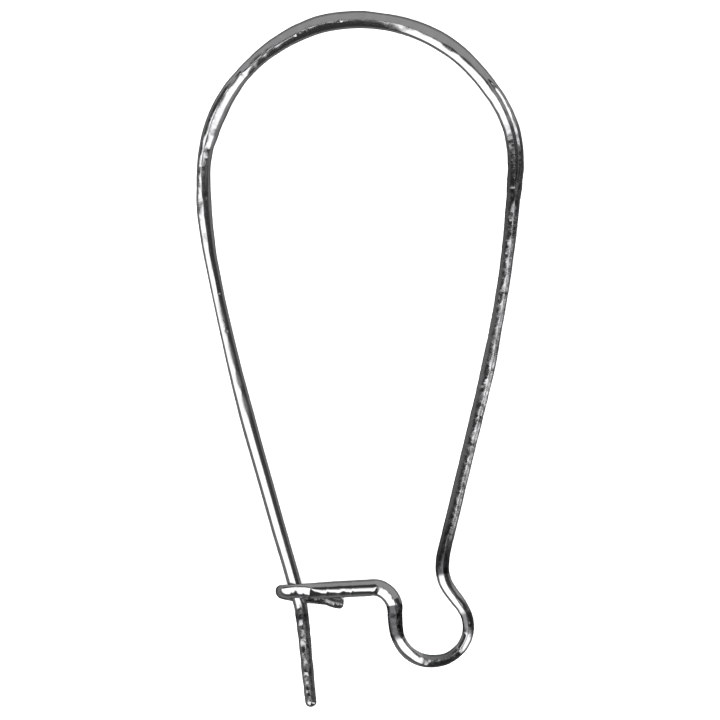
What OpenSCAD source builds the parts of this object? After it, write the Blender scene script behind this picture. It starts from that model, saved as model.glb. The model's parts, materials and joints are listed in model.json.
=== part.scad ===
// Kidney ear wire, lying on a surface.
// One round wire: ear leg, arch, back leg, pendant dip, keeper arm and hook.
// X runs across the loop, +Y towards the arch, +Z up from the surface.
// The origin is the middle of the wire's outline, on the surface it lies on.

/* [Wire] */
// Thickness of the round wire
wire_d = 0.72; // [0.5:0.02:0.9]

/* [Loop] */
// Width of the arch over its outside
arch_w = 17.72; // [16:0.1:20]
// How far the top of the arch stands towards the back leg
arch_shift = 0.1; // [0:0.05:0.5]
// Height from the keeper arm to the top of the arch
loop_h = 31.5; // [27:0.1:37]
// How far the back leg comes in from the springing to the throat of the dip
throat_in = 4.3; // [3.5:0.1:5.5]

/* [Free end] */
// Drop from the keeper arm to the free end of the ear leg
tip_drop = 6.4; // [3:0.1:9]
// Drop from the keeper arm to the small bend where the free end starts
kink_drop = 0.9; // [0.8:0.05:1.4]
// Sideways lean of the free end from that bend on
tip_lean = 0.6; // [0.2:0.05:1]

/* [Pendant dip] */
// Inside width of the dip
dip_w = 3.2; // [2.6:0.1:4]
// How far the middle of the dip stands in from the throat
dip_in = 0.32; // [0.1:0.02:0.6]
// Height of the throat above the top of the dip's circle
neck_h = 0.85; // [0.6:0.05:1.2]
// Height of the throat above the keeper arm
throat_rise = 0.9; // [0.5:0.05:1.3]
// Bend radius of the throat, on the middle of the wire
throat_r = 2.4; // [1.8:0.1:2.8]

/* [Keeper] */
// Length of the keeper arm from its shoulder to the ear leg
arm_l = 5.35; // [4.5:0.05:6.5]
// Fall of the keeper arm from its shoulder to the ear leg
arm_fall = 0.3; // [0:0.05:0.6]
// Bend radius of the shoulder, on the middle of the wire
shoulder_r = 1.25; // [0.9:0.05:1.4]
// Length of the arm that lies level before the ear leg, where its climb has ended
arm_level = 1; // [0.8:0.05:1.6]
// Clearance between the ear leg and the hook round it
hook_gap = 0.08; // [0.04:0.01:0.16]
// Length of the hook's return, from the ear leg to its cut end
return_l = 2.5; // [1.2:0.1:2.8]
// Angle by which the return swings down from the arm
return_swing = 9; // [0:1:14]

/* [Hidden] */
$fn = 32;

// Bends of the legs, in shares of the way from the springing to the leg's foot:
// in, down, up, and the reach of the bend on each side of its corner
ear_leg_bends = [[0.32, 0.47, 0.4, 0.23], [0, 0.12, 0, 0.08]];
back_leg_bends = [[0, 0.03, 0, 0.03], [0.16, 0.34, 0, 0.25]];

// Reach of the small bend where the free end starts
kink_reach = 0.2;
// Reach of the bend where the climbing arm turns level
level_reach = 0.4;
// Thickness of the sleeve over a joint and of the free end's ball, as a share of the wire's
joint_swell = 1.01;
// Length of the sleeve over a joint
sleeve_l = 0.08;
// Shortest straight run that is made
least_run = 0.01;

wire_r = wire_d / 2;
arch_r = arch_w / 2 - wire_r;
dip_r = (dip_w + wire_d) / 2;
// Height from the return to the ear leg, and again from the ear leg to the arm
hook_step = wire_d + hook_gap;
low_z = wire_r;
leg_z = low_z + hook_step;
arm_z = leg_z + hook_step;

// The outline reaches as far above the origin as below it
outline_h = loop_h + tip_drop;
top_y = outline_h / 2 - wire_r;
keeper_y = outline_h / 2 - loop_h;

// The arch is two quarter rings that meet at its top
ear_quarter_r = arch_r + arch_shift;
back_quarter_r = arch_r - arch_shift;
ear_spring = [-arch_r, top_y - ear_quarter_r, low_z];
back_spring = [arch_r, top_y - back_quarter_r, low_z];

throat = [arch_r - throat_in, keeper_y + throat_rise, low_z];
dip = [throat.x - dip_in, throat.y - neck_h - dip_r];
dip_bottom_y = dip.y - dip_r;
shoulder = [dip.x - dip_r, keeper_y + arm_fall, low_z];
crossing = [shoulder.x - arm_l, keeper_y, leg_z];

// The wire from the throat runs on a line that touches the dip's circle
throat_slope = asin(dip_r / norm([dip_in, neck_h + dip_r])) - atan(dip_in / (neck_h + dip_r));
dip_corner_x = throat.x + (throat.y - dip_bottom_y) * tan(throat_slope);

arm_end = [crossing.x - hook_step, keeper_y, arm_z];
level = [crossing.x + arm_level, keeper_y + arm_level * arm_fall / arm_l, arm_z];
swing_drop = tan(return_swing);
return_start = [arm_end.x, keeper_y - hook_step * swing_drop, low_z];
return_end = [
    crossing.x + return_l,
    keeper_y - (hook_step * 2 + return_l) * swing_drop,
    low_z
];
hook_reach = norm(arm_end - return_start) / 2;

function unit(v) = v / norm(v);

// Angle through which the wire turns at b on its way from a to c
function turn(a, b, c) = acos(unit(b - a) * unit(c - b));

function reach(a, b, c, radius) = radius * tan(turn(a, b, c) / 2);

// Corner of a leg, with its place and reach worked out from its row of shares
function leg_corner(row, spring, foot) = [
    [for (i = [0:2]) spring[i] + row[i] * (foot[i] - spring[i])],
    row[3] * (spring.y - foot.y)
];

ear_leg_corners = [for (row = ear_leg_bends) leg_corner(row, ear_spring, crossing)];
back_leg_corners = [for (row = back_leg_bends) leg_corner(row, back_spring, throat)];
dip_right = [dip_corner_x, dip_bottom_y, low_z];
dip_left = [shoulder.x, dip_bottom_y, low_z];
last_back_corner = back_leg_corners[len(back_leg_corners) - 1][0];

// The ear leg runs straight through the hook to its small bend, and goes on rising from there
leg_way = crossing - ear_leg_corners[0][0];
kink = crossing - leg_way * kink_drop / leg_way.y;
tip_y = keeper_y - tip_drop + wire_r;
tip = [kink.x + tip_lean, tip_y, leg_z + (tip_y - keeper_y) * leg_way.z / leg_way.y];

// Corners of the wire from its free end to its cut end, each with the reach of its bend
corners = concat(
    [[tip, 0], [kink, kink_reach]],
    ear_leg_corners,
    [
        [[ear_spring.x, top_y, low_z], ear_quarter_r],
        [[back_spring.x, top_y, low_z], back_quarter_r]
    ],
    back_leg_corners,
    [
        [throat, reach(last_back_corner, throat, dip_right, throat_r)],
        [dip_right, dip_r * tan((90 + throat_slope) / 2)],
        [dip_left, dip_r],
        [shoulder, reach(dip_left, shoulder, level, shoulder_r)],
        [level, level_reach],
        [arm_end, hook_reach],
        [return_start, hook_reach],
        [return_end, 0]
    ]
);
last = len(corners) - 1;

function place(i) = corners[i][0];

function heading(i) = unit(place(i + 1) - place(i));

// Puts its children at a point, with their X and Y axes along two square directions
module stand_at(point, x_way, y_way) {
    z_way = cross(x_way, y_way);
    multmatrix([for (i = [0:2]) [x_way[i], y_way[i], z_way[i], point[i]]]) children();
}

// Sleeve over a joint between two pieces of the wire, a hair thicker than they are
module joint(point, way) {
    side = unit(cross(way, [way.z, way.x, way.y]));
    stand_at(point - way * sleeve_l / 2, side, cross(way, side))
        cylinder(d = wire_d * joint_swell, h = sleeve_l);
}

// Bend at a corner, a piece of a ring that touches the runs on both sides of it
module bend(i) {
    in_way = heading(i - 1);
    out_way = heading(i);
    angle = acos(in_way * out_way);
    radius = corners[i][1] / tan(angle / 2);
    outward = unit(in_way * (in_way * out_way) - out_way);
    start = place(i) - in_way * corners[i][1];
    joint(start, in_way);
    stand_at(start - outward * radius, outward, in_way)
        rotate_extrude(angle = angle)
            translate([radius, 0])
                circle(d = wire_d);
}

// Straight run from the bend at a corner to the bend at the next
module run(i) {
    way = heading(i);
    start = place(i) + way * corners[i][1];
    run_l = norm(place(i + 1) - place(i)) - corners[i][1] - corners[i + 1][1];
    side = unit(cross(way, [way.z, way.x, way.y]));
    if (run_l > least_run) {
        if (i > 0) joint(start, way);
        stand_at(start, side, cross(way, side))
            cylinder(d = wire_d, h = run_l);
    }
}

// Ball that rounds the free end
module free_end() {
    translate(place(0))
        sphere(d = wire_d * joint_swell);
}

module ear_wire() {
    color("silver")
        union() {
            free_end();
            for (i = [0 : last - 1]) run(i);
            for (i = [1 : last - 1]) bend(i);
        }
}

ear_wire();
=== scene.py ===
import json
import math

import bmesh
import bpy
from mathutils import Matrix, Quaternion, Vector, noise


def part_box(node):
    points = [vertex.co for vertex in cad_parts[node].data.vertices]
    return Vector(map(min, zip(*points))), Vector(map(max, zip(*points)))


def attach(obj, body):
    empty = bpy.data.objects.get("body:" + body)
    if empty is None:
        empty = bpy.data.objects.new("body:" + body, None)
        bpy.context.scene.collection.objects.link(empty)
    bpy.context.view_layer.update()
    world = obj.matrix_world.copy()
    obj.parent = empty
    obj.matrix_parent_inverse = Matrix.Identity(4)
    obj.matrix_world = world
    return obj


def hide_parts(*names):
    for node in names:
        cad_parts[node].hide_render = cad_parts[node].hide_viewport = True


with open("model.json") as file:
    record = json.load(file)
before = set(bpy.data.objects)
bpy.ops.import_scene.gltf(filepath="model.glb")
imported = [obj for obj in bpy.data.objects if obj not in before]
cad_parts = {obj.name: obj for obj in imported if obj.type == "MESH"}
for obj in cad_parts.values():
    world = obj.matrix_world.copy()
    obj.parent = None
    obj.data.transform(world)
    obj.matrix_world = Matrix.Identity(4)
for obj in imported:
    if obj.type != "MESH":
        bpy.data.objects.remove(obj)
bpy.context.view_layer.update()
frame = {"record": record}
mm = 0.001  # the wire's sizes below are in millimetres, and the studio's and camera's in metres

# the ear wire's route: one round wire from the free end round to the cut end
route = {
    "loopHigh": 31.5,
    "throatIn": 4.3,
    "archShift": 0.1,
    "tipDrop": 6.4,
    "kinkDrop": 0.9,
    "kinkReach": 0.2,
    "tipLean": 0.6,
    "dipWide": 3.2,
    "dipIn": 0.32,
    "neckHigh": 0.85,
    "throatRise": 0.9,
    "throatRadius": 2.4,
    "armLong": 5.35,
    "armFall": 0.3,
    "armLevel": 1.0,
    "shoulderRadius": 1.25,
    "levelReach": 0.4,
    "hookGap": 0.08,
    "returnLong": 2.5,
    "returnSwing": 9,  # degrees
    # bends of the legs: in, down and up as shares of the way to the leg's foot, then the reach
    "earLegBends": [(0.32, 0.47, 0.4, 0.23), (0, 0.12, 0, 0.08)],
    "backLegBends": [(0, 0.03, 0, 0.03), (0.16, 0.34, 0, 0.25)],
    "bendLeast": 4,  # fewest places worked out on a bend
    "bendFine": 4,  # places worked out on a bend for each ring there
}


def wireRadius():
    for mount in frame["record"]["mounts"]:
        if mount["name"] == "ear_post":
            return mount["dims"]["r_mm"]
    raise KeyError("the record has no ear_post")


def turnAt(a, b, c):
    return (b - a).angle(c - b)


def legCorners(bends, spring, foot):
    corners = []
    for across, down, up, reach in bends:
        share = Vector((across, down, up))
        place = Vector([s + k * (f - s) for s, f, k in zip(spring, foot, share)])
        corners.append((place, reach * (spring.y - foot.y)))
    return corners


def wireCorners(radius):
    low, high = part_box("ear_wire")
    archRadius = (high.x - low.x) / mm / 2 - radius
    topY = high.y / mm - radius
    keeperY = high.y / mm - route["loopHigh"]
    step = radius * 2 + route["hookGap"]
    lowZ, legZ, armZ = radius, radius + step, radius + step * 2
    earQuarter = archRadius + route["archShift"]
    backQuarter = archRadius - route["archShift"]
    earSpring = Vector((-archRadius, topY - earQuarter, lowZ))
    backSpring = Vector((archRadius, topY - backQuarter, lowZ))

    dipRadius = route["dipWide"] / 2 + radius
    throat = Vector((archRadius - route["throatIn"], keeperY + route["throatRise"], lowZ))
    neck = route["neckHigh"] + dipRadius
    dipX = throat.x - route["dipIn"]
    bottomY = throat.y - neck - dipRadius
    slope = math.asin(dipRadius / math.hypot(route["dipIn"], neck)) - math.atan(route["dipIn"] / neck)
    dipRight = Vector((throat.x + (throat.y - bottomY) * math.tan(slope), bottomY, lowZ))
    dipLeft = Vector((dipX - dipRadius, bottomY, lowZ))

    shoulder = Vector((dipLeft.x, keeperY + route["armFall"], lowZ))
    crossing = Vector((shoulder.x - route["armLong"], keeperY, legZ))
    levelY = keeperY + route["armLevel"] * route["armFall"] / route["armLong"]
    level = Vector((crossing.x + route["armLevel"], levelY, armZ))
    armEnd = Vector((crossing.x - step, keeperY, armZ))
    swing = math.tan(math.radians(route["returnSwing"]))
    returnStart = Vector((armEnd.x, keeperY - step * swing, lowZ))
    returnLong = route["returnLong"]
    returnEnd = Vector((crossing.x + returnLong, keeperY - (step * 2 + returnLong) * swing, lowZ))
    hookReach = (armEnd - returnStart).length / 2

    earLeg = legCorners(route["earLegBends"], earSpring, crossing)
    backLeg = legCorners(route["backLegBends"], backSpring, throat)
    legWay = crossing - earLeg[0][0]
    kink = crossing - legWay * (route["kinkDrop"] / legWay.y)
    tipY = keeperY - route["tipDrop"] + radius
    tipZ = legZ + (tipY - keeperY) * legWay.z / legWay.y
    tip = Vector((kink.x + route["tipLean"], tipY, tipZ))

    def roundReach(a, b, c, bendRadius):
        return bendRadius * math.tan(turnAt(a, b, c) / 2)

    return [
        (tip, 0),
        (kink, route["kinkReach"]),
        *earLeg,
        (Vector((earSpring.x, topY, lowZ)), earQuarter),
        (Vector((backSpring.x, topY, lowZ)), backQuarter),
        *backLeg,
        (throat, roundReach(backLeg[-1][0], throat, dipRight, route["throatRadius"])),
        (dipRight, roundReach(throat, dipRight, dipLeft, dipRadius)),
        (dipLeft, dipRadius),
        (shoulder, roundReach(dipLeft, shoulder, level, route["shoulderRadius"])),
        (level, route["levelReach"]),
        (armEnd, hookReach),
        (returnStart, hookReach),
        (returnEnd, 0),
    ]


def walkRoute(corners, step):
    points = [corners[0][0]]
    for (before, _), (corner, reach), (after, _) in zip(corners, corners[1:], corners[2:]):
        inWay = (corner - before).normalized()
        outWay = (after - corner).normalized()
        turn = inWay.angle(outWay)
        radius = reach / math.tan(turn / 2)
        middle = corner - inWay * reach + (outWay - inWay * inWay.dot(outWay)).normalized() * radius
        spoke = corner - inWay * reach - middle
        pieces = max(route["bendLeast"], int(turn * radius / step * route["bendFine"]))
        for i in range(pieces + 1):
            points.append(middle + Quaternion(inWay.cross(outWay), turn * i / pieces) @ spoke)
    points.append(corners[-1][0])
    return points


def evenStations(points, step):
    # places a fixed distance apart, each with how far along the wire it lies
    lengths = [0.0]
    for a, b in zip(points, points[1:]):
        lengths.append(lengths[-1] + (b - a).length)
    count = round(lengths[-1] / step)
    stations = []
    k = 0
    for i in range(count + 1):
        along = lengths[-1] * i / count
        while k < len(points) - 2 and lengths[k + 1] < along:
            k += 1
        share = (along - lengths[k]) / max(lengths[k + 1] - lengths[k], 1e-9)
        stations.append({"along": along, "place": points[k].lerp(points[k + 1], share)})
    return stations


# how the wire's section changes from the free end on, where pliers and rollers pressed it
wireShape = {
    "sides": 52,
    "ringStep": 0.06,
    # along: mm from the free end; side: mm out of the loop; wide and thick: shares of the round wire;
    # lean: degrees that the top leans out of the loop; lift: mm up; dents, worn and dark: 1 for plenty; dark
    # is partly tarnish and partly painted shade that dims the wire's reflections of the lights
    "columns": ("along", "side", "wide", "thick", "lean", "lift", "dents", "worn", "dark"),
    "sections": {
        "freeEnd": [
            (0.0, 0.10, 0.88, 0.76, 26, 0.26, 1.4, 0.8, 0.3),
            (1.8, 0.08, 0.92, 0.80, 28, 0.17, 2.0, 1.0, 0.4),
            (4.2, 0.04, 0.99, 0.89, 32, 0.04, 2.0, 1.0, 0.4),
            (4.7, 0.04, 1.00, 0.90, 32, 0.03, 1.6, 1.0, 0.9),
            (5.0, 0.04, 1.01, 0.90, 32, 0.02, 1.4, 0.8, 0.6),
            (5.2, 0.04, 1.03, 0.90, 33, 0.02, 1.0, 0.2, 0.1),
        ],
        "earLeg": [
            (6.2, 0.03, 1.10, 0.92, 38, 0.0, 0.4, 0.2, 0.1),
            (7.4, 0.02, 1.13, 0.94, 36, 0.0, 0.05, 0.1, 0.0),
            (9.6, 0.03, 1.15, 0.91, 28, 0.0, 0.03, 0.05, 0.0),
            (13.0, 0.01, 1.15, 0.91, 22, 0.0, 0.03, 0.05, 0.0),
            (15.8, 0.01, 1.18, 0.92, 17, 0.0, 0.03, 0.05, 0.0),
            (17.4, 0.01, 1.11, 0.87, 12, 0.0, 0.03, 0.05, 0.0),
            (18.6, 0.01, 1.05, 0.83, 8, 0.0, 0.03, 0.05, 0.0),
            (20.4, 0.00, 0.99, 0.79, 2, 0.0, 0.04, 0.05, 0.0),
            (22.4, 0.00, 0.95, 0.75, -3, 0.0, 0.1, 0.05, 0.0),
            (24.6, -0.01, 0.98, 0.84, -9, 0.0, 0.2, 0.1, 0.0),
            (26.0, -0.03, 1.08, 0.93, -12, 0.0, 0.4, 0.2, 0.0),
        ],
        "leftShoulder": [
            (27.6, 0.00, 1.17, 0.97, -16, 0.0, 0.6, 0.3, 0.0),
            (28.8, 0.02, 1.17, 0.86, -34, 0.0, 0.8, 0.5, 0.1),
            (29.8, 0.02, 1.17, 0.82, -40, 0.0, 0.9, 0.6, 0.2),
            (30.8, 0.01, 1.26, 0.90, -43, 0.02, 0.7, 0.5, 0.1),
            (31.7, -0.03, 1.44, 1.06, -45, 0.03, 0.4, 0.5, 0.1),
            (33.0, -0.05, 1.54, 1.08, -45, 0.06, 0.4, 0.4, 0.1),
            (34.2, -0.05, 1.43, 1.00, -43, 0.09, 0.3, 0.2, 0.0),
            (35.4, -0.06, 1.20, 0.90, -38, 0.12, 0.3, 0.1, 0.0),
            (36.2, -0.07, 1.10, 0.90, -8, 0.12, 0.3, 0.1, 0.0),
        ],
        "archTop": [
            (37.0, -0.06, 1.15, 0.96, 1, 0.10, 0.2, 0.1, 0.0),
            (37.8, -0.06, 1.23, 1.03, 2, 0.07, 0.2, 0.1, 0.0),
            (39.4, -0.03, 1.33, 1.09, 3, 0.0, 0.4, 0.1, 0.0),
            (40.4, 0.00, 1.37, 1.12, 5, 0.0, 0.4, 0.1, 0.0),
            (42.4, -0.04, 1.35, 1.11, 5, 0.0, 0.4, 0.1, 0.0),
            (44.0, -0.08, 1.28, 1.07, 5, 0.0, 0.4, 0.1, 0.0),
            (45.4, -0.07, 1.34, 1.10, 5, 0.0, 0.3, 0.1, 0.0),
            (46.3, -0.06, 1.40, 1.10, 13, 0.0, 0.2, 0.0, 0.0),
            (47.4, -0.05, 1.45, 1.10, 13, 0.0, 0.2, 0.0, 0.0),
            (48.6, -0.05, 1.38, 1.00, 8, 0.0, 0.2, 0.1, 0.0),
            (49.8, -0.07, 1.31, 0.93, 2, 0.0, 0.2, 0.1, 0.0),
        ],
        "rightShoulder": [
            (51.0, -0.05, 1.29, 0.91, -1, 0.0, 0.3, 0.2, 0.0),
            (52.0, 0.02, 1.28, 0.89, -4, 0.0, 0.4, 0.3, 0.0),
            (52.8, 0.06, 1.28, 0.89, -12, 0.0, 0.5, 0.4, 0.0),
            (53.6, 0.09, 1.30, 0.90, -16, 0.03, 0.7, 0.7, 0.3),
            (54.6, 0.05, 1.28, 0.90, -13, 0.08, 0.8, 0.8, 0.6),
            (55.6, -0.01, 1.27, 0.90, -16, 0.13, 0.9, 1.0, 0.7),
            (56.6, -0.07, 1.24, 0.90, -25, 0.18, 1.0, 1.0, 0.7),
            (57.6, -0.08, 1.15, 0.86, -34, 0.23, 1.1, 1.0, 0.6),
        ],
        "backLeg": [
            (59.6, -0.05, 1.10, 0.76, -36, 0.26, 1.2, 1.0, 0.5),
            (62.4, -0.03, 1.05, 0.68, -36, 0.20, 1.2, 1.0, 0.3),
            (64.6, -0.03, 1.07, 0.68, -36, 0.13, 1.2, 1.0, 0.3),
            (66.6, -0.01, 1.21, 0.76, -36, 0.07, 1.2, 1.0, 0.2),
            (69.0, 0.00, 1.13, 0.71, -36, 0.03, 1.2, 1.0, 0.3),
            (72.0, 0.02, 1.11, 0.69, -36, 0.0, 1.1, 1.0, 0.3),
            (75.0, 0.05, 1.10, 0.72, -36, 0.0, 0.8, 0.9, 0.4),
            (76.4, 0.05, 1.02, 0.86, -26, 0.02, 0.6, 0.8, 0.7),
        ],
        "throat": [
            (77.6, 0.08, 1.06, 0.88, -20, 0.08, 0.4, 0.8, 0.9),
            (78.25, 0.04, 1.05, 0.82, -14, 0.12, 0.3, 0.7, 1.0),
            (78.45, 0.03, 1.05, 0.80, -12, 0.13, 0.2, 0.1, 0.1),
            (78.8, 0.01, 1.05, 0.78, -10, 0.14, 0.2, 0.1, 0.0),
            (79.8, 0.00, 1.03, 0.74, -10, 0.12, 0.2, 0.1, 0.0),
            (80.6, 0.00, 0.92, 0.68, -5, 0.10, 0.3, 0.4, 0.2),
        ],
        "dip": [
            (80.9, 0.03, 0.89, 0.70, -2, 0.09, 0.4, 0.9, 0.9),
            (81.3, 0.05, 0.88, 0.72, 0, 0.08, 0.5, 0.9, 0.9),
            (81.8, 0.07, 0.87, 0.74, 3, 0.06, 0.4, 0.8, 0.7),
            (82.0, 0.08, 0.86, 0.76, 4, 0.05, 0.2, 0.0, 0.0),
            (82.8, 0.07, 0.86, 0.76, 5, 0.04, 0.2, 0.1, 0.0),
            (83.0, 0.05, 0.86, 0.76, 5, 0.04, 0.2, 0.8, 0.6),
            (83.4, 0.04, 0.86, 0.77, 6, 0.03, 0.3, 0.9, 0.7),
            (84.6, -0.01, 0.98, 0.84, 14, 0.02, 0.5, 0.8, 0.5),
            (85.0, -0.01, 1.08, 0.74, 28, 0.03, 0.4, 0.6, 0.4),
            (85.2, -0.01, 1.12, 0.68, 32, 0.03, 0.3, 0.1, 0.0),
            (85.8, -0.02, 1.20, 0.60, 37, 0.04, 0.3, 0.1, 0.0),
            (86.7, -0.04, 1.14, 0.62, 35, 0.06, 0.2, 0.1, 0.0),
            (87.0, -0.04, 1.09, 0.69, 28, 0.07, 0.8, 0.8, 0.9),
            (87.3, -0.03, 1.07, 0.77, 16, 0.06, 1.8, 1.4, 1.9),
            (88.3, 0.02, 1.15, 0.88, 10, 0.03, 1.8, 1.4, 1.9),
        ],
        "keeperArm": [
            (88.7, 0.03, 1.22, 0.90, 14, 0.05, 0.9, 1.0, 1.3),
            (88.85, 0.04, 1.26, 0.92, 16, 0.05, 0.5, 0.1, 0.0),
            (89.1, 0.06, 1.29, 0.92, 14, 0.03, 0.3, 0.1, 0.0),
            (89.5, 0.08, 1.30, 0.92, 12, -0.07, 0.2, 0.1, 0.0),
            (90.0, 0.08, 1.30, 0.92, 12, -0.24, 0.2, 0.1, 0.0),
            (90.35, 0.08, 1.29, 0.93, 12, -0.37, 0.2, 0.1, 0.0),
            (90.7, 0.08, 1.30, 0.94, 14, -0.335, 0.1, 0.1, 0.0),
            (91.4, 0.07, 1.30, 0.96, 16, -0.28, 0.1, 0.05, 0.0),
            (92.8, 0.05, 1.29, 0.96, 18, -0.165, 0.1, 0.05, 0.0),
            (93.5, 0.04, 1.26, 0.93, 19, -0.107, 0.1, 0.05, 0.0),
            (94.1, 0.04, 1.24, 0.82, 24, 0.03, 0.1, 0.05, 0.0),
            (94.5, 0.03, 1.22, 0.72, 32, -0.035, 0.1, 0.05, 0.0),
        ],
        "hook": [
            (94.9, 0.03, 1.21, 0.66, 34, -0.10, 0.1, 0.05, 0.0),
            (95.1, 0.03, 1.20, 0.66, 34, -0.10, 0.1, 0.05, 0.0),
            (95.3, 0.03, 1.19, 0.67, 34, -0.06, 0.1, 0.05, 0.0),
            (95.7, 0.02, 1.14, 0.76, 30, 0.03, 0.2, 0.1, 0.0),
            (96.2, 0.00, 1.07, 0.92, 16, 0.04, 0.2, 0.1, 0.0),
            (97.6, 0.00, 1.03, 0.98, 4, 0.0, 0.5, 0.9, 0.3),
            (98.6, -0.02, 0.93, 0.95, 0, 0.0, 0.6, 1.1, 0.3),
            (99.0, -0.02, 0.88, 0.94, 0, 0.0, 0.7, 1.2, 0.6),
            (99.3, 0.04, 0.88, 0.92, 0, 0.0, 0.7, 1.2, 0.7),
            (99.5, 0.08, 0.86, 0.90, 0, 0.0, 0.6, 1.1, 0.5),
            (99.9, 0.09, 0.84, 0.88, 0, 0.0, 0.5, 1.0, 0.3),
        ],
    },
    # creases pressed into the top: start and end along the wire, side at each, half width, depth
    "creases": [
        (50.6, 57.0, 0.22, 0.24, 0.18, 0.11),
        (27.9, 30.6, 0.02, 0.00, 0.14, 0.020),
    ],
    "creaseIn": 9,  # a crease deepens over a ninth of its length, and fades over the last fifth
    "creaseOut": 5,
    "creaseTip": 0.3,  # width of its tips, as a share of its own
    # small nicks: mm along the wire, side, half length, half width, depth
    "nicks": [
        (20.8, -0.05, 0.12, 0.10, 0.014),
        (22.9, -0.08, 0.12, 0.12, 0.016),
        (30.3, 0.12, 0.12, 0.10, 0.016),
        (30.8, 0.10, 0.12, 0.10, 0.016),
        (39.1, -0.10, 0.14, 0.12, 0.014),
        (39.8, -0.14, 0.12, 0.10, 0.014),
        (41.6, -0.05, 0.16, 0.12, 0.016),
        (44.2, 0.05, 0.14, 0.12, 0.014),
        (56.9, 0.02, 0.10, 0.30, 0.022),
        (58.7, 0.12, 0.12, 0.10, 0.016),
        (60.5, 0.10, 0.12, 0.10, 0.016),
        (67.9, 0.00, 0.14, 0.26, 0.018),
        (81.4, 0.05, 0.12, 0.10, 0.016),
        (84.2, -0.10, 0.10, 0.10, 0.016),
        (84.7, -0.12, 0.12, 0.10, 0.016),
        (0.9, 0.00, 0.30, 0.16, 0.020),
        (1.5, 0.04, 0.16, 0.12, 0.016),
        (3.1, -0.02, 0.36, 0.16, 0.022),
        (4.2, 0.00, 0.30, 0.18, 0.022),
        (91.8, 0.00, 0.10, 0.80, 0.014),
        (92.45, 0.00, 0.30, 0.80, 0.020),
        (93.3, 0.00, 0.12, 0.80, 0.014),
        (94.1, 0.00, 0.10, 0.80, 0.012),
    ],
    "dentDepth": 0.014,
    "dentLong": 0.8,
    "dentNarrow": 2.2,  # how much closer dents lie round the wire than along it
    "fineDents": 2.3,  # how much closer the fine dents lie than the others
    "fineShift": (7, 3, 1),  # keeps the fine dents from following the others
    "fineShare": 0.5,
    "hookSteep": 0.5,  # slope at which the wire starts to turn over into the hook
    "tipRings": 7,
    "endRound": 0.22,
    "endRings": 5,
}


def sectionAt(along, rows):
    for a, b in zip(rows, rows[1:]):
        if along <= b[0]:
            break
    share = min(1.0, max(0.0, (along - a[0]) / (b[0] - a[0])))
    eased = share * share * (3 - 2 * share)
    section = {name: p + (q - p) * eased for name, p, q in zip(wireShape["columns"], a, b)}
    lift = wireShape["columns"].index("lift")
    section["lift"] = a[lift] + (b[lift] - a[lift]) * share  # eased, it would put a step at each row
    return section


def setFrames(stations):
    # left is out of the loop on both legs, and up is away from the surface until the hook turns under
    rows = [row for stretch in wireShape["sections"].values() for row in stretch]
    up = Vector((0, 0, 1))
    hooked = False
    left = tangent = None
    for i, station in enumerate(stations):
        ahead = stations[min(i + 1, len(stations) - 1)]["place"]
        behind = stations[max(i - 1, 0)]["place"]
        last, tangent = tangent, (ahead - behind).normalized()
        hooked = hooked or abs(tangent.z) > wireShape["hookSteep"]
        left = last.rotation_difference(tangent) @ left if hooked else up.cross(tangent).normalized()
        section = sectionAt(station["along"], rows)
        station["section"] = section
        station["tangent"] = tangent
        station["left"] = left
        station["up"] = tangent.cross(left)
        station["middle"] = station["place"] + left * section["side"] + station["up"] * section["lift"]


def ringAt(station, back=0.0, shrink=1.0):
    # where a ring of the straight wire goes, and what it becomes there
    section = station["section"]
    axes = Matrix((station["left"], station["up"], station["tangent"])).transposed().to_4x4()
    turned = Matrix.Rotation(math.radians(-section["lean"]), 4, "Z")
    sized = Matrix.Diagonal((section["wide"] * shrink, section["thick"] * shrink, 1, 1))
    middle = station["middle"] - station["tangent"] * back
    return {
        "matrix": Matrix.Translation(middle) @ axes @ turned @ sized,
        "along": station["along"] - back,
        "section": section,
    }


def wireRings(stations, radius):
    # the free end is a dome, as high as the wire is thick there
    rings = []
    count = wireShape["tipRings"]
    high = radius * stations[0]["section"]["thick"]
    for i in range(count + 1):
        angle = math.pi / 2 * i / (count + 1)
        rings.append(ringAt(stations[0], high * math.cos(angle), math.sin(angle)))
    # the edge of the cut end is worn round
    rounding = wireShape["endRound"]
    spare = int(rounding / wireShape["ringStep"])
    rings += [ringAt(station) for station in stations[:-spare]]
    for i in range(wireShape["endRings"]):
        angle = math.pi / 2 * (i + 1) / wireShape["endRings"]
        shrink = 1 - rounding / radius * (1 - math.cos(angle))
        rings.append(ringAt(stations[-spare - 1], -rounding * math.sin(angle), shrink))
    return rings


def bendWire(rings, radius):
    # a straight length of wire, with a ring for each place on its way, is bent along the route
    count = len(rings)
    bm = bmesh.new()
    bmesh.ops.create_cone(
        bm,
        cap_ends=True,
        cap_tris=True,
        segments=wireShape["sides"],
        radius1=radius,
        radius2=radius,
        depth=count - 1,
    )
    # the edges that run along the wire are cut, once for each ring
    longEdges = [e for e in bm.edges if abs(e.verts[0].co.z - e.verts[1].co.z) > 0.5]
    bmesh.ops.subdivide_edges(bm, edges=longEdges, cuts=count - 2)
    placeLayer = bm.verts.layers.float_vector.new("wirePlace")
    wearAndShadeLayer = bm.verts.layers.float_vector.new("wireWear")
    sections = {}
    for vert in bm.verts:
        ring = rings[round(vert.co.z + (count - 1) / 2)]
        section = ring["section"]
        vert[placeLayer] = (ring["along"], vert.co.x, vert.co.y)
        # the wear, and the darkening that is partly tarnish and partly painted shade
        vert[wearAndShadeLayer] = (section["worn"], section["dark"], 0)
        sections[vert] = section
        vert.co = ring["matrix"] @ Vector((vert.co.x, vert.co.y, 0))
    return bm, placeLayer, sections


def bump(distance):
    # a smooth hump, 1 in the middle and 0 from 1 on
    return math.cos(math.pi / 2 * min(1.0, abs(distance))) ** 2


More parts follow.
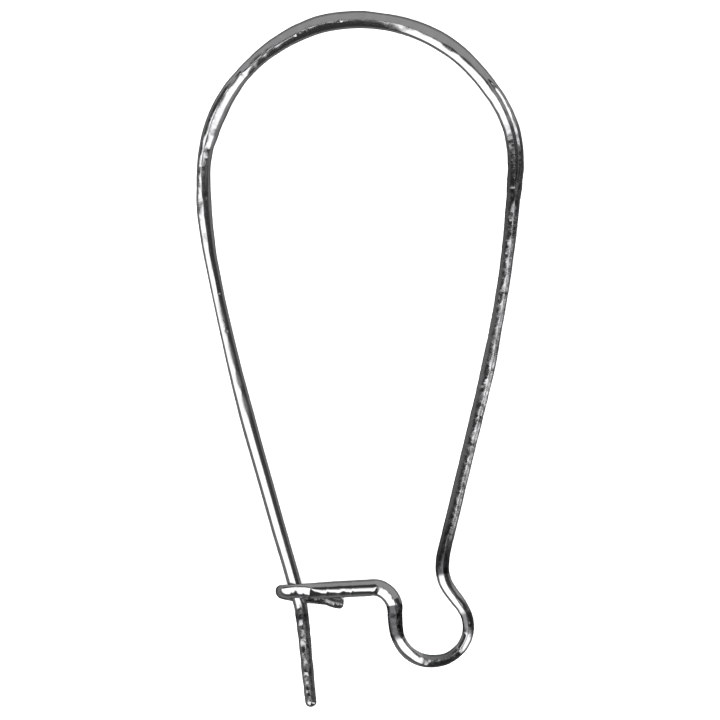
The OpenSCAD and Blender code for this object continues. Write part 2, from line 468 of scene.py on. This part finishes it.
def pressedBy(along, side):
    # how deep the creases and nicks are at a place on the top of the wire
    deep = 0.0
    for start, end, sideStart, sideEnd, halfWide, depth in wireShape["creases"]:
        if start < along < end:
            share = (along - start) / (end - start)
            ends = min(1.0, wireShape["creaseIn"] * share, wireShape["creaseOut"] * (1 - share))
            wide = halfWide * (wireShape["creaseTip"] + (1 - wireShape["creaseTip"]) * ends)
            away = side - sideStart - share * (sideEnd - sideStart)
            deep += depth * ends * bump(away / wide)
    for middle, nickSide, halfLong, halfWide, depth in wireShape["nicks"]:
        if abs(along - middle) < halfLong:
            deep += depth * bump((along - middle) / halfLong) * bump((side - nickSide) / halfWide)
    return deep


def dentWire(bm, placeLayer, sections):
    # small dents of handling and of the pliers, deeper where the wear is
    bm.normal_update()
    grain = 1 / wireShape["dentLong"]
    across = grain * wireShape["dentNarrow"]
    shift = Vector(wireShape["fineShift"])
    moves = []
    for vert in bm.verts:
        along, x, y = vert[placeLayer]
        spot = Vector((along * grain, x * across, y * across))
        fine = noise.noise(spot * wireShape["fineDents"] + shift)
        level = noise.noise(spot) + wireShape["fineShare"] * fine
        out = level * wireShape["dentDepth"] * sections[vert]["dents"]
        if y > 0:  # creases and nicks are in the top alone
            out -= pressedBy(along, x * sections[vert]["wide"])
        moves.append(vert.normal * out)
    for vert, move in zip(bm.verts, moves):
        vert.co += move


def mathNode(tree, operation, *inputs):
    made = tree.nodes.new("ShaderNodeMath")
    made.operation = operation
    for socket, value in zip(made.inputs, inputs):
        if isinstance(value, (int, float)):
            socket.default_value = value
        else:
            tree.links.new(value, socket)
    return made.outputs[0]


def rangeNode(tree, value, low, high, toLow, toHigh):
    made = tree.nodes.new("ShaderNodeMapRange")
    tree.links.new(value, made.inputs["Value"])
    for name, number in zip(("From Min", "From Max", "To Min", "To Max"), (low, high, toLow, toHigh)):
        made.inputs[name].default_value = number
    return made


# bright silver plating, dulled in clouds, pitted where it is worn, and darkened in places partly by tarnish
# and partly by painted shade that dims its reflections of the lights
plating = {
    "silver": (0.78, 0.78, 0.79, 1),
    "dull": (0.58, 0.58, 0.585, 1),
    # partly tarnish, partly painted shade: the darkest the plating goes where the dark column is high
    "tarnish": (0.10, 0.10, 0.105, 1),
    "roughness": 0.1,
    "dullRoughness": 0.15,
    "wornRoughness": 0.16,  # comes on top of the others
    # noises: scale per mm, detail and roughness; then the levels between which two of them come in
    "clouds": (2.2, 4, 0.6),
    "cloudLevels": (0.35, 0.75),
    "patches": (3.4, 3, 0.6),
    "patchLevels": (0.40, 0.58),
    "pits": (2.6, 3, 0.5),
    "lines": (1, 3, 0.55),
    "lineStretch": (0.5, 14, 14),
    "pitDepth": 0.00002,  # metres, as is the next
    "lineDepth": 0.0000015,
}


def wireMetal():
    material = bpy.data.materials.new("silverPlatedWire")
    material.use_nodes = True
    tree = material.node_tree
    shader = tree.nodes["Principled BSDF"]
    shader.inputs["Metallic"].default_value = 1
    # painted shade: the black edge tint gives the wire's outline a dark rim
    shader.inputs["Specular Tint"].default_value = (0, 0, 0, 1)  # darkens the wire's outline

    def link(a, b):
        tree.links.new(a, b)

    def noiseNode(where, scale, detail, roughness):
        made = tree.nodes.new("ShaderNodeTexNoise")
        made.inputs["Scale"].default_value = scale
        made.inputs["Detail"].default_value = detail
        made.inputs["Roughness"].default_value = roughness
        link(where, made.inputs["Vector"])
        return made.outputs["Fac"]

    def attribute(name):
        made = tree.nodes.new("ShaderNodeAttribute")
        made.attribute_name = name
        return made.outputs["Vector"]

    def colourMix(share, colour):
        # the colour is the one at a share of 1
        made = tree.nodes.new("ShaderNodeMix")
        made.data_type = "RGBA"
        made.inputs["B"].default_value = colour
        link(share, made.inputs["Factor"])
        return made

    def bumpNode(height, distance):
        made = tree.nodes.new("ShaderNodeBump")
        made.inputs["Strength"].default_value = 1
        made.inputs["Distance"].default_value = distance
        link(height, made.inputs["Height"])
        return made

    place = attribute("wirePlace")
    wearAndShadeParts = tree.nodes.new("ShaderNodeSeparateXYZ")
    link(attribute("wireWear"), wearAndShadeParts.inputs[0])
    worn, dark = wearAndShadeParts.outputs["X"], wearAndShadeParts.outputs["Y"]

    # soft clouds of dulled plating
    clouds = noiseNode(place, *plating["clouds"])
    tone = colourMix(clouds, plating["dull"])
    tone.inputs["A"].default_value = plating["silver"]
    # painted shade mixed with tarnish: darkens the plating where the dark column says, dimming the
    # reflections of the lights
    tarnish = colourMix(dark, plating["tarnish"])
    link(tone.outputs["Result"], tarnish.inputs["A"])
    link(tarnish.outputs["Result"], shader.inputs["Base Color"])

    # roughness follows the clouds, and rises in patches where the wire is worn
    gloss = rangeNode(tree, clouds, *plating["cloudLevels"], plating["roughness"], plating["dullRoughness"])
    patches = noiseNode(place, *plating["patches"])
    scuffs = rangeNode(tree, patches, *plating["patchLevels"], 0, plating["wornRoughness"])
    scuffed = mathNode(tree, "MULTIPLY_ADD", scuffs.outputs["Result"], worn, gloss.outputs["Result"])
    link(scuffed, shader.inputs["Roughness"])

    # fine draw lines along the wire
    stretch = tree.nodes.new("ShaderNodeMapping")
    stretch.inputs["Scale"].default_value = plating["lineStretch"]
    link(place, stretch.inputs["Vector"])
    drawn = bumpNode(noiseNode(stretch.outputs["Vector"], *plating["lines"]), plating["lineDepth"])

    # pits and scuffs where the wire is worn
    pits = noiseNode(place, *plating["pits"])
    pitted = bumpNode(mathNode(tree, "MULTIPLY", pits, worn), plating["pitDepth"])
    link(drawn.outputs["Normal"], pitted.inputs["Normal"])
    link(pitted.outputs["Normal"], shader.inputs["Normal"])
    print("plating ready,", len(tree.nodes), "nodes")
    return material


def makeWire():
    radius = wireRadius()
    step = wireShape["ringStep"]
    stations = evenStations(walkRoute(wireCorners(radius), step), step)
    setFrames(stations)
    print("route", round(stations[-1]["along"], 2), "mm,", len(stations), "stations")
    bm, placeLayer, sections = bendWire(wireRings(stations, radius), radius)
    dentWire(bm, placeLayer, sections)
    bmesh.ops.scale(bm, vec=(mm, mm, mm), verts=bm.verts)
    bmesh.ops.recalc_face_normals(bm, faces=bm.faces)
    mesh = bpy.data.meshes.new("silverWire")
    bm.to_mesh(mesh)
    bm.free()
    mesh.shade_smooth()
    mesh.materials.append(wireMetal())
    wire = bpy.data.objects.new("silverWire", mesh)
    bpy.context.scene.collection.objects.link(wire)
    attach(wire, "root")
    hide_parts("ear_wire")
    print("wire bent,", len(mesh.polygons), "faces")


# the table that the wire lies on, and the studio round it: compass ways in degrees from +X towards +Y
studio = {
    "tableSize": 6.0,
    "tableTone": (0.86, 0.86, 0.86, 1),
    "lampHigh": 2.0,
    "lampSize": 2.4,
    "lampPower": 140,
    # brightness of the sky overhead and low down, heights between which it fades, and the shade towards -Y
    "darkSky": 0.04,
    "lowSky": 0.23,
    "hazeLow": -0.15,
    "hazeHigh": 0.55,
    "shadeSouth": 0.35,
    # brightness of the wall beyond the arch, where it starts, and the way, start and slant of its tongue
    "paleWall": 0.37,
    "wallFar": 0.5,
    "wallFarSoft": 0.08,
    "wallFoot": (-0.05, 0.03),
    "tongueWay": 80,
    "tongueStart": 0.10,
    "tongueSlant": 0.58,
    "tongueSoft": 0.05,
}

# each light is a wedge that points at the zenith: its compass way and half angle, how far it lies aside,
# its width at the tip, where it starts on the way down, its lowest edge, how soft each edge is, and how
# bright it is
softBoxes = {
    "leftBox": {
        "way": 221.5, "halfAngle": 32.5, "aside": 0.06, "tip": 0.02, "soft": 0.035,
        "start": -0.03, "startSoft": 0.05, "low": 0.24, "lowSoft": 0.07, "bright": 1.8,
    },
    "rightBox": {
        "way": 329.5, "halfAngle": 12, "aside": 0, "tip": 0.02, "soft": 0.05,
        "start": 0.13, "startSoft": 0.05, "low": 0.18, "lowSoft": 0.07, "bright": 1.8,
    },
    "rightFill": {
        "way": 345, "halfAngle": 14, "aside": 0, "tip": 0, "soft": 0.05,
        "start": 0.42, "startSoft": 0.06, "low": 0.45, "lowSoft": 0.10, "bright": 0.50,
    },
    "rightGlow": {
        "way": 333, "halfAngle": 30, "aside": 0, "tip": 0, "soft": 0.20,
        "start": 0.62, "startSoft": 0.15, "low": -0.45, "lowSoft": 0.20, "bright": 0.33,
    },
}


def makeTable():
    bm = bmesh.new()
    bmesh.ops.create_grid(bm, x_segments=1, y_segments=1, size=studio["tableSize"] / 2)
    mesh = bpy.data.meshes.new("table")
    bm.to_mesh(mesh)
    bm.free()
    material = bpy.data.materials.new("paleTable")
    material.use_nodes = True
    shader = material.node_tree.nodes["Principled BSDF"]
    shader.inputs["Base Color"].default_value = studio["tableTone"]
    shader.inputs["Roughness"].default_value = 1
    shader.inputs["Specular IOR Level"].default_value = 0
    mesh.materials.append(material)
    table = bpy.data.objects.new("table", mesh)
    table.visible_glossy = False  # the photograph's wire reflects a darker ground than the one it shows
    bpy.context.scene.collection.objects.link(table)


def makeLamp():
    # lights the table only, so that it leaves no mark on the wire
    data = bpy.data.lights.new("tableLamp", "AREA")
    data.shape = "DISK"
    data.size = studio["lampSize"]
    data.energy = studio["lampPower"]
    lamp = bpy.data.objects.new("tableLamp", data)
    lamp.location = (0, 0, studio["lampHigh"])
    lamp.visible_glossy = False
    bpy.context.scene.collection.objects.link(lamp)


def makeSky():
    world = bpy.data.worlds.new("studioSky")
    bpy.context.scene.world = world
    world.use_nodes = True
    tree = world.node_tree

    way = tree.nodes.new("ShaderNodeTexCoord")
    split = tree.nodes.new("ShaderNodeSeparateXYZ")
    tree.links.new(way.outputs["Generated"], split.inputs[0])
    x, y, z = split.outputs

    def calc(operation, *inputs):
        return mathNode(tree, operation, *inputs)

    def ramp(value, low, high, dark=0.0, bright=1.0):
        made = rangeNode(tree, value, low, high, dark, bright)
        made.interpolation_type = "SMOOTHSTEP"
        return made.outputs["Result"]

    def rampRound(value, middle, soft, dark=0.0, bright=1.0):
        return ramp(value, middle - soft, middle + soft, dark, bright)

    def towards(degrees, aside=0.0):
        # how far a direction leans towards a compass way, and how far it lies beside it
        angle = math.radians(degrees)
        out = calc("ADD", calc("MULTIPLY", x, math.cos(angle)), calc("MULTIPLY", y, math.sin(angle)))
        beside = calc("SUBTRACT", calc("MULTIPLY", x, math.sin(angle)), calc("MULTIPLY", y, math.cos(angle)))
        return out, calc("ABSOLUTE", calc("SUBTRACT", beside, aside))

    # a pale wall beyond the arch, with a tongue up to the zenith
    out, beside = towards(studio["tongueWay"])
    edge = calc("MULTIPLY_ADD", beside, -studio["tongueSlant"], -studio["tongueStart"])
    tongue = rampRound(calc("ADD", out, edge), 0, studio["tongueSoft"])
    far = rampRound(y, studio["wallFar"], studio["wallFarSoft"])
    foot = ramp(z, *studio["wallFoot"], 0, studio["paleWall"])
    wall = calc("MULTIPLY", calc("MAXIMUM", tongue, far), foot)
    # the sky is dark overhead and on the near side, and pale towards the table
    high = calc("MULTIPLY_ADD", y, -studio["shadeSouth"], z)
    sky = ramp(high, studio["hazeLow"], studio["hazeHigh"], studio["lowSky"], studio["darkSky"])
    light = calc("MAXIMUM", sky, wall)

    for box in softBoxes.values():
        out, beside = towards(box["way"], box["aside"])
        slant = math.tan(math.radians(box["halfAngle"]))
        edge = calc("MULTIPLY_ADD", out, slant, box["tip"] - box["start"] * slant)
        inside = rampRound(calc("SUBTRACT", edge, beside), 0, box["soft"])
        begun = rampRound(out, box["start"], box["startSoft"])
        above = rampRound(z, box["low"], box["lowSoft"], 0, box["bright"])
        light = calc("MAXIMUM", light, calc("MULTIPLY", calc("MULTIPLY", inside, begun), above))
    tree.links.new(light, tree.nodes["Background"].inputs["Color"])
    print("sky ready,", len(softBoxes), "soft boxes")


# the camera looks straight down, as the photograph does
view = {
    "far": 0.55,
    "frameWide": 0.03925,
    "sensor": 36.0,  # millimetres
    "clip": (0.01, 20),
}


def makeCamera():
    data = bpy.data.cameras.new("camera")
    data.sensor_width = view["sensor"]
    data.lens = view["sensor"] * view["far"] / view["frameWide"]
    data.clip_start, data.clip_end = view["clip"]
    camera = bpy.data.objects.new("camera", data)
    camera.location = (0, 0, view["far"])
    bpy.context.scene.collection.objects.link(camera)
    bpy.context.scene.camera = camera


makeCamera()
makeWire()
makeTable()
makeLamp()
makeSky()
bpy.context.scene.view_settings.view_transform = "Standard"
print("studio ready")
